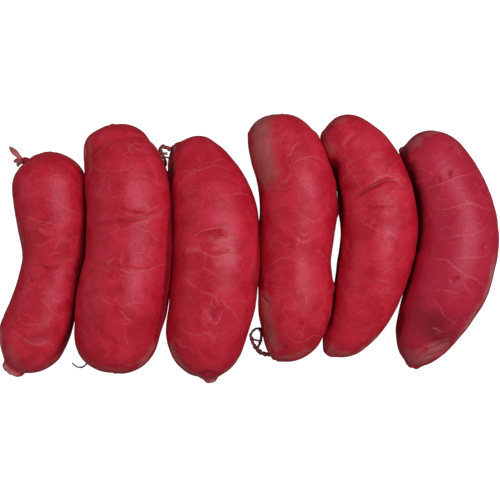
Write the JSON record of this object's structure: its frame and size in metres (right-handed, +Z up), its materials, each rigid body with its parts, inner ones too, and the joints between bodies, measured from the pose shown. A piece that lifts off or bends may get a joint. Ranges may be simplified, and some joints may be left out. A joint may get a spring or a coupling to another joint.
{
  "type": "string of sausage links",
  "caption": "String of short, plump raw sausage links in natural casing, folded in a zigzag so that the links lie side by side.",
  "frame": {"origin": "on the table, under the middle of the string's bounding box", "axes": "+X along the row of links, +Y along the links towards the knotted end, +Z up"},
  "size_m": [0.2346, 0.1268, 0.0407],
  "materials": {
    "casing_red": null,
    "casing_dried": null
  },
  "bodies": {
    "root": {"link_1": "casing_red", "link_2": "casing_red", "link_3": "casing_red", "link_4": "casing_red", "link_5": "casing_red", "link_6": "casing_red", "twist_1_2": "casing_dried", "twist_2_3": "casing_dried", "twist_3_4": "casing_dried", "twist_4_5": "casing_dried", "twist_5_6": "casing_dried"}
  },
  "joints": []
}
